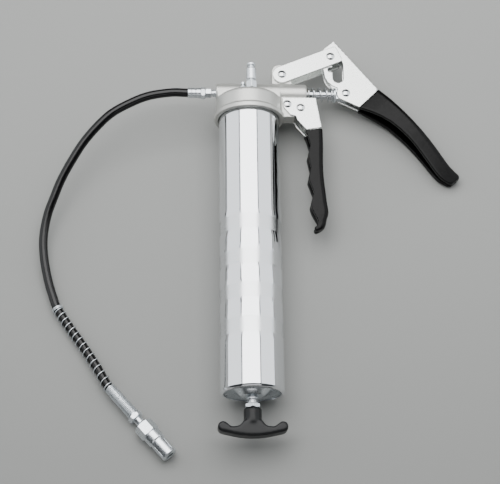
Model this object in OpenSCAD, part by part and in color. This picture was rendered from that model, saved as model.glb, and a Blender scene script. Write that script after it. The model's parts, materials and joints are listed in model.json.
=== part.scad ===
/* [Barrel] */
// Outside diameter of the barrel tube
barrel_d = 57; // [56:0.5:58]
// Wall thickness of the barrel tube
barrel_wall = 1.2; // [1:0.1:1.5]
// Length of barrel that shows below the head
barrel_shown = 268; // [240:1:300]
// Length of barrel that screws into the head
barrel_in_head = 14; // [12:0.5:14]

/* [Pump head] */
// Radius of the head's ring
ring_r = 31.3; // [31:0.1:32]
// Radius of the lip round the foot of the ring
lip_r = 33.1; // [32.6:0.1:34]
// Radius of the pump boss that crosses the head
boss_r = 9.5; // [9:0.1:10]
// Distance from the barrel axis to the open end of the boss
boss_reach = 55.5; // [54:0.5:57]
// Thickness of the ear that carries the link
ear_t = 10.6; // [10:0.2:11]
// Thickness of the lug that carries the fixed handle
lug_t = 14; // [13:0.5:14]

/* [Pump] */
// Diameter of the plunger
plunger_d = 8; // [7.5:0.1:8.2]
// Mean radius of the return spring
return_r = 6.25; // [6:0.05:6.3]
// Wire diameter of the return spring
return_wire = 1.6; // [1.2:0.1:1.7]
// Turns of the return spring
return_turns = 5.5; // [5:0.5:6]

/* [Lever and handle] */
// Thickness of the pressed steel
steel_t = 1.8; // [1.5:0.1:2]
// Thickness of the vinyl on the grips
vinyl_t = 1.2; // [1:0.1:1.4]
// Half of the width of the link plate
link_half = 8.75; // [8:0.25:9]
// Thickness of each link plate
link_t = 2; // [1.5:0.25:2.5]

/* [Follower] */
// Diameter of the follower rod
rod_d = 8; // [7:0.5:8]
// Mean radius of the follower spring
follower_spring_r = 21; // [18:0.5:23]
// Wire diameter of the follower spring
follower_wire = 2.2; // [1.8:0.1:2.5]
// Turns of the follower spring
follower_turns = 14; // [10:1:16]

/* [T-handle] */
// Overall width of the bar
bar_w = 62; // [56:1:66]
// Depth of the bar from front to back
bar_depth = 14.5; // [12:0.5:16]
// Radius of the stem
stem_r = 8.1; // [7.5:0.1:8.5]

/* [Hose] */
// Outside diameter of the hose
hose_d = 8.3; // [8:0.1:8.4]
// Wire diameter of the spring guard
guard_wire = 1.1; // [1:0.1:1.2]
// Open turns of the spring guard
guard_turns = 14.5; // [12:0.5:17]

/* [Coupler] */
// Width across the flats of the coupler's nut
coupler_af = 16; // [15.5:0.5:16]
// Radius of the coupler's sleeve
sleeve_r = 7.3; // [7:0.1:7.6]
// Radius of the mouth that takes a grease nipple
mouth_r = 3.45; // [3.3:0.05:3.6]

/* [Lying at rest] */
// How far the tool rolls over on to its lever
roll = 7.7; // [7.5:0.01:7.9]
// How far the barrel tilts, because the lip is wider than the foot
pitch = 0.99; // [0.95:0.01:1.03]

/* [Hidden] */

round_fn = 96;
fine_fn = 48;
fit = 0.05;
press = 0.02;

// Shift that puts the origin under the middle of the tool, and the height of the barrel axis at the foot
rest_x = -78;
rest_y = -158;
rest_z = 28.44;

barrel_r = barrel_d / 2;
barrel_in_r = barrel_r - barrel_wall;
ring_y = barrel_shown;
ring_top = ring_y + 22;
axis_y = ring_y + 29;
ceiling_y = ring_y + barrel_in_head + 2;

// Pivots in the plane of the handles
link_a = [32, axis_y + 18];
link_b = [79.5, axis_y + 38.5];
pin_c = [93.5, axis_y];
pivot_r = 3;
plunger_pin_r = 2.5;
link_in = ear_t / 2 + 0.2;
link_out = link_in + link_t;
lever_z = ear_t / 2;
handle_z = lug_t / 2 + steel_t;
rivet_a = [36.4, ring_y + 14.5];
rivet_b = [49, ring_y + 10.8];

collar_x = pin_c[0] - 9.7;
collar_t = 2;
rod_r = rod_d / 2;
plunger_r = plunger_d / 2;
follower_y = ring_y - 6;
cup_r = barrel_in_r - 0.08;
bush_r = 6;

filler_at = [1.6, 19];
bleeder_at = [-6, 14.1];

// ---- placing ----

// From the tool's own axes, with Y up the barrel, to where it lies
module laid_down() {
    translate([rest_x, rest_y, rest_z]) rotate([pitch, 0, 0]) rotate([0, roll, 0]) children();
}

module on_floor() {
    translate([rest_x, rest_y, 0]) children();
}

// A point given on the tool's own axes, as a point of the frame that the hose lies in
function laid(p) =
    let (x = p[0] * cos(roll) + p[2] * sin(roll),
         z = -p[0] * sin(roll) + p[2] * cos(roll))
    [x, p[1] * cos(pitch) - z * sin(pitch), rest_z + p[1] * sin(pitch) + z * cos(pitch)];

module turned_y(fn = round_fn) {
    rotate([-90, 0, 0]) rotate_extrude($fn = fn) children();
}

module turned_x(fn = fine_fn) {
    rotate([0, 90, 0]) rotate_extrude($fn = fn) children();
}

module along_x(x, r, length, fn = fine_fn) {
    translate([x, 0, 0]) rotate([0, 90, 0]) cylinder(r = r, h = length, $fn = fn);
}

module along_y(y, r, length, fn = fine_fn) {
    translate([0, y, 0]) rotate([-90, 0, 0]) cylinder(r = r, h = length, $fn = fn);
}

module plate(z0, t) {
    translate([0, 0, z0]) linear_extrude(t) children();
}

module hole(at, r, half = 20) {
    translate([at[0], at[1], -half]) cylinder(r = r, h = 2 * half, $fn = fine_fn);
}

// ---- curves and swept bodies ----

function arc(cx, cy, r, from, to, n = 5) =
    [for (i = [0:n]) let (a = from + (to - from) * i / n) [cx + r * cos(a), cy + r * sin(a)]];

function clamped(k, i) = k[min(max(i, 0), len(k) - 1)];

// A smooth curve through the rows of k, at t from 0 to len(k) - 1
function smooth(k, t) =
    let (i = min(floor(t), len(k) - 2), f = t - i,
         a = clamped(k, i - 1), b = k[i], c = k[i + 1], d = clamped(k, i + 2))
    0.5 * ((2 * b) + (c - a) * f + (2 * a - 5 * b + 4 * c - d) * f * f
        + (3 * b - a - 3 * c + d) * f * f * f);

function unit(v) = v / norm(v);

// A body through closed rings of points, each ring convex, with flat ends
module skin(rings) {
    n = len(rings[0]);
    m = len(rings);
    polyhedron(
        points = [for (r = rings) each r],
        faces = concat(
            [[for (i = [0:n - 1]) i]],
            [for (j = [0:m - 2], i = [0:n - 1])
                let (a = j * n + i, b = j * n + (i + 1) % n) [a, a + n, b + n, b]],
            [[for (i = [n - 1:-1:0]) (m - 1) * n + i]]));
}

// A ring of n points round centre c, in the plane of the unit vectors u and v
function ring_at(c, u, v, r, n) = [for (i = [0:n - 1]) c + r * (cos(i * 360 / n) * u + sin(i * 360 / n) * v)];

// A wire coil about +Z from z = 0, with its end turns closed
module coil(r, wire, turns, length, per_turn = 24, sides = 6) {
    steps = round(turns * per_turn);
    free = length - 3 * wire;
    skin([for (i = [0:steps])
        let (t = i / per_turn,
             mid = min(max((t - 1) / (turns - 2), 0), 1),
             z = wire / 2 + wire * min(t, 1) + free * mid + wire * max(t - turns + 1, 0),
             out = [cos(t * 360), sin(t * 360), 0])
        ring_at(r * out + [0, 0, z], [0, 0, 1], out, wire / 2, sides)]);
}

// The two sides of a channel's section: u runs from the spine to the open edge, z across
function channel_side(w, u0, depth, r) = concat(
    [[depth, w]],
    [for (i = [0:3]) [u0 + r - r * sin(i * 30), w - r + r * cos(i * 30)]],
    [for (i = [3:-1:0]) [u0 + r - r * sin(i * 30), -(w - r + r * cos(i * 30))]],
    [[depth, -w]]);

function reversed(v) = [for (i = [len(v) - 1:-1:0]) v[i]];

// One ring of a channel: s = [outer x, outer y, inner x, inner y, half width], grown by g
function channel_ring(s, t, g, corner = 3) =
    let (o = [s[0], s[1]], d = [s[2], s[3]] - o, depth = norm(d), e = d / depth,
         sec = concat(
             channel_side(s[4] + g, -g, depth + g, corner + g),
             reversed(channel_side(s[4] - t - g, t + g, depth + g, max(corner - t - g, 0.4)))))
    [for (p = sec) [o[0] + e[0] * p[0], o[1] + e[1] * p[0], -p[1]]];

CH = 20;

// A pressed channel along the stations
module channel(stations, t, g) {
    m = len(stations);
    polyhedron(
        points = [for (s = stations) each channel_ring(s, t, g)],
        faces = concat(
            [for (i = [0:CH / 2 - 2]) [i, i + 1, CH - 2 - i, CH - 1 - i]],
            [for (j = [0:m - 2], i = [0:CH - 1])
                let (a = j * CH + i, b = j * CH + (i + 1) % CH) [a, a + CH, b + CH, b]],
            [for (i = [0:CH / 2 - 2])
                let (k = (m - 1) * CH) [k + CH - 1 - i, k + CH - 2 - i, k + i + 1, k + i]]));
}

// A dipped skin round a channel: open where the steel comes out, closed past the steel's tip
module channel_sleeve(stations, steel_count, t, g) {
    m = len(stations);
    steel = [for (j = [0:steel_count - 1]) stations[j]];
    k = m * CH;
    polyhedron(
        points = concat(
            [for (s = stations) each channel_ring(s, t, g)],
            [for (s = steel) each channel_ring(s, t, press)]),
        faces = concat(
            [for (i = [0:CH - 1]) let (b = (i + 1) % CH) [i, b, k + b, k + i]],
            [for (j = [0:m - 2], i = [0:CH - 1])
                let (a = j * CH + i, b = j * CH + (i + 1) % CH) [a, a + CH, b + CH, b]],
            [for (i = [0:CH / 2 - 2])
                let (e = (m - 1) * CH) [e + CH - 1 - i, e + CH - 2 - i, e + i + 1, e + i]],
            [for (j = [0:steel_count - 2], i = [0:CH - 1])
                let (a = k + j * CH + i, b = k + j * CH + (i + 1) % CH) [a, b, b + CH, a + CH]],
            [for (i = [0:CH / 2 - 2])
                let (e = k + (steel_count - 1) * CH) [e + i, e + i + 1, e + CH - 2 - i, e + CH - 1 - i]]));
}

// ---- fasteners ----

module rivet_head(r, h) {
    ball = (r * r + h * h) / (2 * h);
    intersection() {
        translate([0, 0, h - ball]) sphere(r = ball, $fn = round_fn);
        cylinder(r = r + 1, h = h + 1, $fn = fine_fn);
    }
}

// A riveted pin across the handles' plane, with a low round head on each side
module rivet(at, half, r, head_r = 4.1, head_h = 1.6) {
    translate([at[0], at[1], 0]) {
        translate([0, 0, -half]) cylinder(r = r, h = 2 * half, $fn = fine_fn);
        translate([0, 0, half]) rivet_head(head_r, head_h);
        mirror([0, 0, 1]) translate([0, 0, half]) rivet_head(head_r, head_h);
    }
}

// A hexagon prism along +Z, with its corners turned down at both ends
module hex_bar(af, length) {
    corner = af / 2 / cos(30);
    intersection() {
        rotate([0, 0, 30]) cylinder(r = corner, h = length, $fn = 6);
        union() {
            cylinder(r1 = af / 2 - 0.1, r2 = corner, h = 0.8, $fn = fine_fn);
            translate([0, 0, 0.8]) cylinder(r = corner, h = length - 1.6, $fn = fine_fn);
            translate([0, 0, length - 0.8]) cylinder(r1 = corner, r2 = af / 2 - 0.1, h = 0.8, $fn = fine_fn);
        }
    }
}

// ---- pump head ----

module ear_shape(r = 7) {
    x0 = link_a[0] - 9.6;
    x1 = link_a[0] + 9.6;
    top = link_a[1] + 11.5;
    polygon(concat(
        [[x0, axis_y], [x1, axis_y]],
        arc(x1 - r, top - r, r, 0, 90),
        arc(x0 + r, top - r, r, 90, 180)));
}

module head_turning() {
    turned_y() polygon(concat(
        [[0, ceiling_y], [barrel_r + fit, ceiling_y], [barrel_r + fit, ring_y + 3],
         [barrel_r + 0.65, ring_y + 2.4], [barrel_r + 0.65, ring_y], [lip_r - 0.4, ring_y],
         [lip_r, ring_y + 0.4], [lip_r, ring_y + 4.4], [lip_r - 0.5, ring_y + 5], [ring_r, ring_y + 5.6]],
        arc(ring_r - 4, ring_top - 4, 4, 0, 90),
        [[12, ring_top + 2.5], [0, ring_top + 2.5]]));
}

module head_bores() {
    translate([0, axis_y, 0]) {
        along_x(-10, plunger_r + fit, 80);
        along_x(-14.5, 2, 5);
        along_x(-40, 4.6, 26);
        along_x(boss_reach - 6.5, 6.5, 20);
    }
    translate([6, 0, 0]) along_y(ceiling_y - 1, 2.5, axis_y - ceiling_y + 1);
    translate([filler_at[0], 0, filler_at[1]]) along_y(ceiling_y - 1, 3.5, 20);
    translate([bleeder_at[0], 0, bleeder_at[1]]) along_y(ceiling_y - 1, 2.5, 20);
    hole(link_a, pivot_r + fit);
    hole(rivet_a, pivot_r);
    hole(rivet_b, pivot_r);
    along_y(-1, barrel_r + fit, ceiling_y + 1, round_fn);
}

module pump_head() {
    color("#c9cbca") laid_down() difference() {
        union() {
            head_turning();
            intersection() {
                translate([-ring_r, ring_y + 18, -boss_r])
                    cube([2 * ring_r, axis_y - ring_y - 18, 2 * boss_r]);
                along_y(ring_y, ring_r, 40, round_fn);
            }
            translate([0, axis_y, 0]) turned_x() polygon([
                [0, -ring_r], [boss_r - 0.5, -ring_r], [boss_r, 0.5 - ring_r],
                [boss_r, boss_reach - 1], [boss_r - 1, boss_reach], [0, boss_reach]]);
            plate(-ear_t / 2, ear_t) ear_shape();
            plate(-lug_t / 2, lug_t) polygon([
                [24, ring_y + 1], [43, ring_y + 1.8], [53, ring_y + 8],
                [55, axis_y - 8], [55, axis_y], [24, axis_y]]);
        }
        head_bores();
    }
}

module head_gasket() {
    color("#3a2f2a") laid_down() turned_y() translate([24.5, ring_y + barrel_in_head]) square([3.9, 2]);
}

// ---- filler and bleeder valves ----

module filler_body() {
    color("#dfe3e6") laid_down() translate([filler_at[0], 0, filler_at[1]]) difference() {
        union() {
            along_y(ceiling_y + 1, 3.5, 8);
            translate([0, ring_top + 2.5, 0]) rotate([-90, 0, 0]) hex_bar(9.5, 7.5);
            turned_y(fine_fn) polygon([
                [0, ring_top + 9.5], [3.6, ring_top + 9.5], [3.6, ring_top + 11], [4.7, ring_top + 12],
                [4.7, ring_top + 23], [4.1, ring_top + 23.8], [2.9, ring_top + 24.4], [2.9, ring_top + 26],
                [4.3, ring_top + 27], [4.3, ring_top + 28.8], [3.1, ring_top + 30], [0, ring_top + 30]]);
        }
        along_y(ceiling_y, 1.6 + fit, 50);
    }
}

module filler_valve_pin() {
    color("#c8a24a") laid_down() translate([filler_at[0], 0, filler_at[1]])
        along_y(ring_top + 3, 1.6, 26.6);
}

module bleeder_body() {
    color("#dfe3e6") laid_down() translate([bleeder_at[0], 0, bleeder_at[1]]) difference() {
        union() {
            along_y(ceiling_y + 1, 2.5, 8);
            translate([0, ring_top + 2.5, 0]) rotate([-90, 0, 0]) hex_bar(6, 4);
            along_y(ring_top + 6.4, 2.2, 1.3);
        }
        along_y(ceiling_y, 1.2 + fit, 40);
    }
}

module bleeder_pin() {
    color("#c8a24a") laid_down() translate([bleeder_at[0], 0, bleeder_at[1]]) union() {
        along_y(ring_top, 1.2, 11);
        along_y(ring_top + 9.3, 2, 2);
    }
}

// ---- pump ----

module plunger() {
    color("#cfd2d4") laid_down() difference() {
        union() {
            translate([0, axis_y, 0]) turned_x() polygon([
                [0, 12], [plunger_r - 0.6, 12], [plunger_r, 12.6],
                [plunger_r, collar_x + 0.4], [0, collar_x + 0.4]]);
            plate(-3.3, 6.6) translate([collar_x, axis_y - 5.4]) square([pin_c[0] - collar_x, 10.8]);
            translate([pin_c[0], pin_c[1], -3.3]) cylinder(r = 5.9, h = 6.6, $fn = fine_fn);
        }
        hole(pin_c, plunger_pin_r + 0.9);
    }
}

module plunger_seal() {
    color("#2b2b2b") laid_down() translate([0, axis_y, 0])
        turned_x() translate([plunger_r + fit, boss_reach - 6.5]) square([6.5 - plunger_r - fit, 3.3]);
}

module packing_nut() {
    color("#b9a36a") laid_down() translate([0, axis_y, 0])
        turned_x() translate([plunger_r + 2 * fit, boss_reach - 3.2])
            square([6.5 - plunger_r - 2 * fit, 3.2]);
}

module spring_collar() {
    color("#d5d9dc") laid_down() translate([0, axis_y, 0])
        turned_x() translate([plunger_r + press, collar_x - collar_t]) square([2.9, collar_t]);
}

module return_spring() {
    color("#d5d9dc") laid_down() translate([boss_reach, axis_y, 0]) rotate([0, 90, 0])
        coil(return_r, return_wire, return_turns, collar_x - collar_t - boss_reach);
}

module outlet_adapter() {
    color("#dfe3e6") laid_down() translate([0, axis_y, 0]) difference() {
        union() {
            along_x(-ring_r, 4.6, 8);
            turned_x() polygon([[0, -36], [2.8, -36], [4, -ring_r], [0, -ring_r]]);
            translate([-41.5, 0, 0]) rotate([0, 90, 0]) hex_bar(8.6, 5.6);
        }
        along_x(-45, 1.8, 30);
    }
}

module outlet_check_ball() {
    color("#c9ccce") laid_down() translate([-16.6, axis_y, 0]) sphere(r = 3.1, $fn = fine_fn);
}

module outlet_check_spring() {
    color("#c9ccce") laid_down() translate([-23.3, axis_y, 0]) rotate([0, 90, 0])
        coil(2.7, 0.5, 5, 4.6, 16);
}

// ---- fixed handle ----

// Stations of the channels: outer x, outer y, inner x, inner y, half width
FIXED = [
    [68.6, ring_y - 9.5, 53.9, ring_y - 12, 8.2],
    [68.6, ring_y - 28, 58.5, ring_y - 28, 7.6],
    [68.2, ring_y - 38, 55.9, ring_y - 38, 7.4],
    [68, ring_y - 51, 58.4, ring_y - 51, 7.2],
    [68.4, ring_y - 62, 55.9, ring_y - 62.5, 7],
    [69.6, ring_y - 75, 60.4, ring_y - 76, 6.6],
    [70.6, ring_y - 86, 57.2, ring_y - 88, 6.4],
    [71.8, ring_y - 95, 60.8, ring_y - 98, 5.8],
    [70.2, ring_y - 101.6, 64, ring_y - 105.6, 4.9],
    [69, ring_y - 107, 60.2, ring_y - 110.2, 4.5]];

// The lever's stations are placed from the plunger's pin
LEVER = [
    [pin_c[0] + 31, pin_c[1] + 5, pin_c[0] + 11.5, pin_c[1] - 14.5, 5.3],
    [pin_c[0] + 42.5, pin_c[1] - 7, pin_c[0] + 26, pin_c[1] - 21, 8],
    [pin_c[0] + 56, pin_c[1] - 22.5, pin_c[0] + 42.5, pin_c[1] - 31.5, 9.8],
    [pin_c[0] + 70, pin_c[1] - 40, pin_c[0] + 58.5, pin_c[1] - 47.5, 9.8],
    [pin_c[0] + 82, pin_c[1] - 56.5, pin_c[0] + 70, pin_c[1] - 63, 8.2],
    [pin_c[0] + 92, pin_c[1] - 72, pin_c[0] + 80.5, pin_c[1] - 79, 6.4],
    [pin_c[0] + 98, pin_c[1] - 79.5, pin_c[0] + 87, pin_c[1] - 87.5, 5.2],
    [pin_c[0] + 103, pin_c[1] - 84, pin_c[0] + 93, pin_c[1] - 91.5, 4.2]];

module fixed_handle_channel() {
    back = steel_t;
    color("#d9dcde") laid_down() difference() {
        union() {
            difference() {
                plate(-handle_z, 2 * handle_z) polygon(concat(
                    [[32, axis_y - 7.6], [63.8, axis_y - 7.2], [68.6, ring_y - 9.5], [53.9, ring_y - 12],
                     [45.7, ring_y - 2.5], [44.4, ring_y + 1.8], [39, ring_y + 3.2]],
                    arc(39.5, ring_y + 14.5, 7.5, 230, 180, 3)));
                plate(-lug_t / 2, lug_t) polygon([
                    [20, axis_y + 1], [63.8 - back, axis_y + 1], [63.8 - back, axis_y - 7.2],
                    [68.6 - back, ring_y - 9.5], [68.6 - back, ring_y - 20], [20, ring_y - 20]]);
            }
            channel(concat(
                [[68.5, ring_y - 8.5, 54.4, ring_y - 10.5, handle_z - 0.05]],
                [for (i = [0:16]) smooth(FIXED, i / 2)]), steel_t, 0);
        }
        hole(rivet_a, pivot_r);
        hole(rivet_b, pivot_r);
    }
}

module fixed_handle_grip() {
    tip = smooth(FIXED, 9);
    color("#1c1c1d") laid_down() channel_sleeve(concat(
        [0.9 * FIXED[0] + 0.1 * smooth(FIXED, 0.5)],
        [for (i = [1:18]) smooth(FIXED, i / 2)],
        [[tip[0] - 1.4, tip[1] - 3.2, tip[2] + 0.4, tip[3] - 2.4, 4.1],
         [tip[0] - 3.4, tip[1] - 5.2, tip[2] + 2, tip[3] - 3.4, 3.5]]), 17, steel_t, vinyl_t);
}

module fixed_handle_rivets() {
    color("#e3e6e8") laid_down() {
        rivet(rivet_a, handle_z, pivot_r);
        rivet(rivet_b, handle_z, pivot_r);
    }
}

// ---- lever and link ----

link_len = norm(link_b - link_a);
link_turn = atan2(link_b[1] - link_a[1], link_b[0] - link_a[0]);

module link_shape() {
    end = link_len + 9.5;
    c = 3;
    difference() {
        translate([link_a[0], link_a[1]]) rotate(link_turn) union() {
            circle(r = link_half, $fn = fine_fn);
            polygon(concat([[0, link_half], [0, -link_half]],
                arc(end - c, c - link_half, c, -90, 0, 3), arc(end - c, link_half - c, c, 0, 90, 3)));
        }
        translate(link_a) circle(r = pivot_r, $fn = fine_fn);
        translate(link_b) circle(r = pivot_r, $fn = fine_fn);
    }
}

module link_plate_front() {
    color("#d9dcde") laid_down() plate(link_in, link_t) link_shape();
}

module link_plate_back() {
    color("#d9dcde") laid_down() plate(-link_out, link_t) link_shape();
}

module link_head_pin() {
    color("#e3e6e8") laid_down() rivet(link_a, link_out, pivot_r);
}

module link_lever_pin() {
    color("#e3e6e8") laid_down() rivet(link_b, link_out, pivot_r);
}

module lever_outline() {
    translate(pin_c) polygon(concat(
        [[11.5, -14.5], [31, 5], [-10.1, 56.8], [-22.5, 45.7], [-21.4, 27], [-19.6, 16.5],
         [-17, 11.5], [-13.2, 8]],
        arc(0, 0, 8.8, 146, 222, 5), [[1, -9.4]]));
}

// The window in both cheeks: an upright slot with a short branch near its top
module lever_window() {
    translate([pin_c[0] - 6.9, pin_c[1] + 16.3]) {
        circle(r = 5.2, $fn = fine_fn);
        translate([-5.2, 0]) square([10.4, 15]);
        translate([0, 15]) circle(r = 5.2, $fn = fine_fn);
        translate([-7.4, 9]) circle(r = 2.4, $fn = fine_fn);
        translate([-7.4, 6.6]) square([7.4, 4.8]);
    }
}

module lever_channel() {
    spine = unit([31 + 10.1, 5 - 56.8]);
    inward = steel_t * [spine[1], -spine[0]];
    low = [31, 5] + inward + 30 * spine;
    high = [-10.1, 56.8] + inward - 30 * spine;
    color("#d9dcde") laid_down() difference() {
        union() {
            difference() {
                plate(-lever_z, 2 * lever_z) lever_outline();
                plate(steel_t - lever_z, 2 * (lever_z - steel_t)) translate(pin_c)
                    polygon([low, high, high + [-90, 0], low + [-90, 0]]);
            }
            channel(concat(
                [[pin_c[0] + 29.7, pin_c[1] + 6.6, pin_c[0] + 10.6, pin_c[1] - 13.4, lever_z - 0.05]],
                [for (i = [0:13]) smooth(LEVER, i / 2)]), steel_t, 0);
        }
        plate(-20, 40) lever_window();
        hole(link_b, pivot_r + fit);
        hole(pin_c, plunger_pin_r);
    }
}

module lever_grip() {
    tip = smooth(LEVER, 7);
    color("#1c1c1d") laid_down() channel_sleeve(concat(
        [for (i = [0.2, 1, 2, 3, 4, 5, 6, 7, 8, 9, 10, 11, 12, 13, 14]) smooth(LEVER, i / 2)],
        [[tip[0] + 1, tip[1] - 1.8, tip[2] + 1.6, tip[3] - 1, 3.9],
         [tip[0] + 0.8, tip[1] - 3.9, tip[2] + 3.6, tip[3] - 1.4, 3.5],
         [tip[0] - 0.6, tip[1] - 5.4, tip[2] + 5.2, tip[3] - 1.2, 3.2]]), 14, steel_t, vinyl_t);
}

module lever_plunger_pin() {
    color("#e3e6e8") laid_down() rivet(pin_c, lever_z, plunger_pin_r);
}

// ---- barrel ----

module barrel_tube() {
    curl = 3;
    color("#e6e8ea") laid_down() turned_y() polygon(concat(
        [[barrel_r, ring_y + barrel_in_head], [barrel_in_r, ring_y + barrel_in_head]],
        arc(barrel_r - curl, curl, curl - barrel_wall, 0, -90, 4),
        arc(barrel_r - curl, curl, curl, -90, 0, 6)));
}

module end_cap() {
    t = 1.2;
    outer = [
        [25.6, barrel_wall + 0.02], [22.5, 2.9], [19, 3.9], [16.4, 3.6], [14.4, 2.2],
        [12.6, 0.2], [10.4, -1.7], [7.6, -2.6]];
    color("#d5d9dc") laid_down() turned_y() polygon(concat(
        outer, [[bush_r - 1.2, -3.1], [bush_r - 1.2, t - 3.1]],
        reversed([for (p = outer) p + [0, t]]),
        [[barrel_in_r - 0.05, barrel_wall + t + 1.9], [barrel_in_r - 0.05, 3.1]]));
}

module rod_bush() {
    color("#b9a36a") laid_down() turned_y(fine_fn) polygon([
        [rod_r + fit, -4.6], [bush_r - 0.4, -4.6], [bush_r - 0.4, -3.2], [bush_r - 1.25, -3.15],
        [bush_r - 1.25, -1.85], [bush_r, -1.6], [bush_r, 3], [rod_r + fit, 3]]);
}

module follower_spring() {
    color("#9a9c9e") laid_down() translate([0, 6.2, 0]) rotate([-90, 0, 0])
        coil(follower_spring_r, follower_wire, follower_turns, follower_y - 9 - 6.2, 20);
}

// ---- follower ----

module follower_plate() {
    color("#b8bcbe") laid_down() turned_y() polygon([
        [rod_r + fit, follower_y - 4], [10, follower_y - 4], [12, follower_y - 9],
        [25, follower_y - 9], [25, follower_y - 7.6], [13, follower_y - 7.6],
        [11, follower_y - 2.6], [rod_r + fit, follower_y - 2.6]]);
}

module follower_cup() {
    color("#2b2b2b") laid_down() turned_y() polygon([
        [rod_r + 0.5, follower_y - 2.6], [11, follower_y - 2.6],
        [13, follower_y - 7.6], [25.4, follower_y - 7.6],
        [cup_r, follower_y - 9], [cup_r, follower_y + 1], [25.6, follower_y + 2.4], [25, follower_y + 2.4],
        [24.6, follower_y - 4.6], [14.4, follower_y - 4.6], [12.6, follower_y], [rod_r + 0.5, follower_y]]);
}

module follower_retainer() {
    color("#d5d9dc") laid_down() turned_y(fine_fn) translate([rod_r + fit, follower_y]) square([6, 1.6]);
}

module follower_rod() {
    color("#dfe3e6") laid_down() union() {
        along_y(-24, rod_r, follower_y + 24 + 1.7);
        along_y(follower_y + 1.7, 6.4, 2.3);
    }
}

module rod_nut() {
    color("#e3e6e8") laid_down() translate([0, -12.4, 0]) difference() {
        rotate([-90, 0, 0]) hex_bar(12.6, 4);
        along_y(-1, rod_r, 8);
    }
}

// ---- T-handle ----

// Front view of the handle: a stem that flares into a bar whose ends sweep up towards the barrel
module t_handle_shape() {
    top = -12.6;
    sweep_r = 80;
    bottom = -38.4;
    end_r = 4.8;
    end_x = bar_w / 2 - end_r;
    end_y = bottom + end_x * end_x / (2 * sweep_r) + end_r - 0.4;
    half = concat(
        [[0, top], [stem_r, top], [stem_r, top - 7]],
        arc(stem_r + 7.6, -22, 7.6, 180, 255, 5),
        [[19, -29.7]],
        arc(end_x, end_y, end_r, 120, -70, 8),
        [for (i = [1:5]) let (x = end_x * (1 - i / 5)) [x, bottom + x * x / (2 * sweep_r)]]);
    polygon(concat(half, [for (i = [len(half) - 2:-1:1]) [-half[i][0], half[i][1]]]));
}

module t_handle() {
    color("#232324") laid_down() difference() {
        union() {
            plate(-bar_depth / 2, bar_depth) intersection() {
                t_handle_shape();
                translate([-bar_w, -60]) square([2 * bar_w, 36]);
            }
            along_y(-26, stem_r, 13.4);
        }
        along_y(-24.02, rod_r, 20);
    }
}

// ---- hose ----

hose_r = hose_d / 2;
ferrule_x = -58.3;

// The coupler lies level; this is where the hose ends in it, and the way it points
coupler_at = [-109, -9, coupler_af / 2 + 0.05];
coupler_heading = -48.6;
coupler_dir = [cos(coupler_heading), sin(coupler_heading), 0];
wound_len = 34;

// The hose's route over the floor, from the head's ferrule to the coupler's
ROUTE = concat(
    [laid([ferrule_x + 8, axis_y, 0]), laid([ferrule_x - 2, axis_y, 0])],
    [[-74, 297.1, 43.1], [-94.5, 294.2, 44], [-112, 288, 43.5], [-130.5, 278.5, 42], [-145, 266, 39.5],
     [-158.5, 251, 36], [-170, 234, 32], [-180, 217, 27.5], [-187, 201, 23.5], [-192.5, 187.5, 20],
     [-196, 173.5, 16.7], [-197.5, 160, 13.8], [-196.7, 145.5, 11], [-194.5, 132, 9], [-191.2, 118.5, 7.5],
     [-187.3, 106.5, 6.6], [-183, 95.5, 6], [-171.5, 77.5, 5.6], [-158, 58.5, 5.8], [-144.5, 38, 6.9]],
    [coupler_at - wound_len * coupler_dir, coupler_at - 17 * coupler_dir, coupler_at - 5 * coupler_dir]);
guard_from = 18;
guard_to = 22;

function route_dir(t) = unit(smooth(ROUTE, min(t + 0.02, len(ROUTE) - 1)) - smooth(ROUTE, max(t - 0.02, 0)));
function level_side(d) = unit([-d[1], d[0], 0]);

module hose() {
    last = len(ROUTE) - 1;
    color("#1a1a1b") on_floor() skin([for (i = [0:2 * last])
        let (t = i / 2, d = route_dir(t), n = level_side(d))
        ring_at(smooth(ROUTE, t), n, cross(d, n), hose_r, 10)]);
}

module hose_swivel_nut() {
    color("#dfe3e6") laid_down() translate([-45.9, axis_y, 0]) difference() {
        rotate([0, 90, 0]) rotate([0, 0, 20]) hex_bar(10.4, 4.4);
        along_x(-1, 1.8, 8);
    }
}

module hose_head_ferrule() {
    color("#d5d9dc") laid_down() translate([0, axis_y, 0]) turned_x() polygon([
        [hose_r + 0.05, ferrule_x], [4.9, ferrule_x], [5.1, ferrule_x + 0.6], [5.1, ferrule_x + 3],
        [4.8, ferrule_x + 3.6], [5.1, ferrule_x + 4.2], [5.1, ferrule_x + 7], [4.8, ferrule_x + 7.6],
        [5.1, ferrule_x + 8.2], [5.1, -45.9], [1.8, -45.9], [1.8, ferrule_x + 8.4],
        [hose_r + 0.05, ferrule_x + 8.4]]);
}

// The guard's wire: three closed turns where the hose comes out, then open ones
module spring_guard() {
    turns = guard_turns + 3;
    steps = round(turns * 14);
    r = hose_r + 0.12 + guard_wire / 2;
    closed = 0.14;
    color("#dfe3e6") on_floor() skin([for (i = [0:steps])
        let (turn = i * turns / steps,
             t = guard_from + min(turn / 3, 1) * closed
                 + max(turn - 3, 0) / guard_turns * (guard_to - guard_from - closed),
             d = route_dir(t), n = level_side(d), b = cross(d, n),
             out = cos(turn * 360) * n + sin(turn * 360) * b)
        ring_at(smooth(ROUTE, t) + r * out, d, out, guard_wire / 2, 6)]);
}

// ---- coupler, laid out along its own axis from the end of the hose ----

module on_coupler(s = 0) {
    on_floor() translate(coupler_at) rotate([0, 0, coupler_heading]) rotate([0, 90, 0])
        translate([0, 0, s]) children();
}

module coupler_turning(fn = fine_fn) {
    on_coupler() rotate_extrude($fn = fn) children();
}

nut_s = 1;
hex_s = 13;
sleeve_s = 25;
mouth_s = 51.5;

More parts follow.
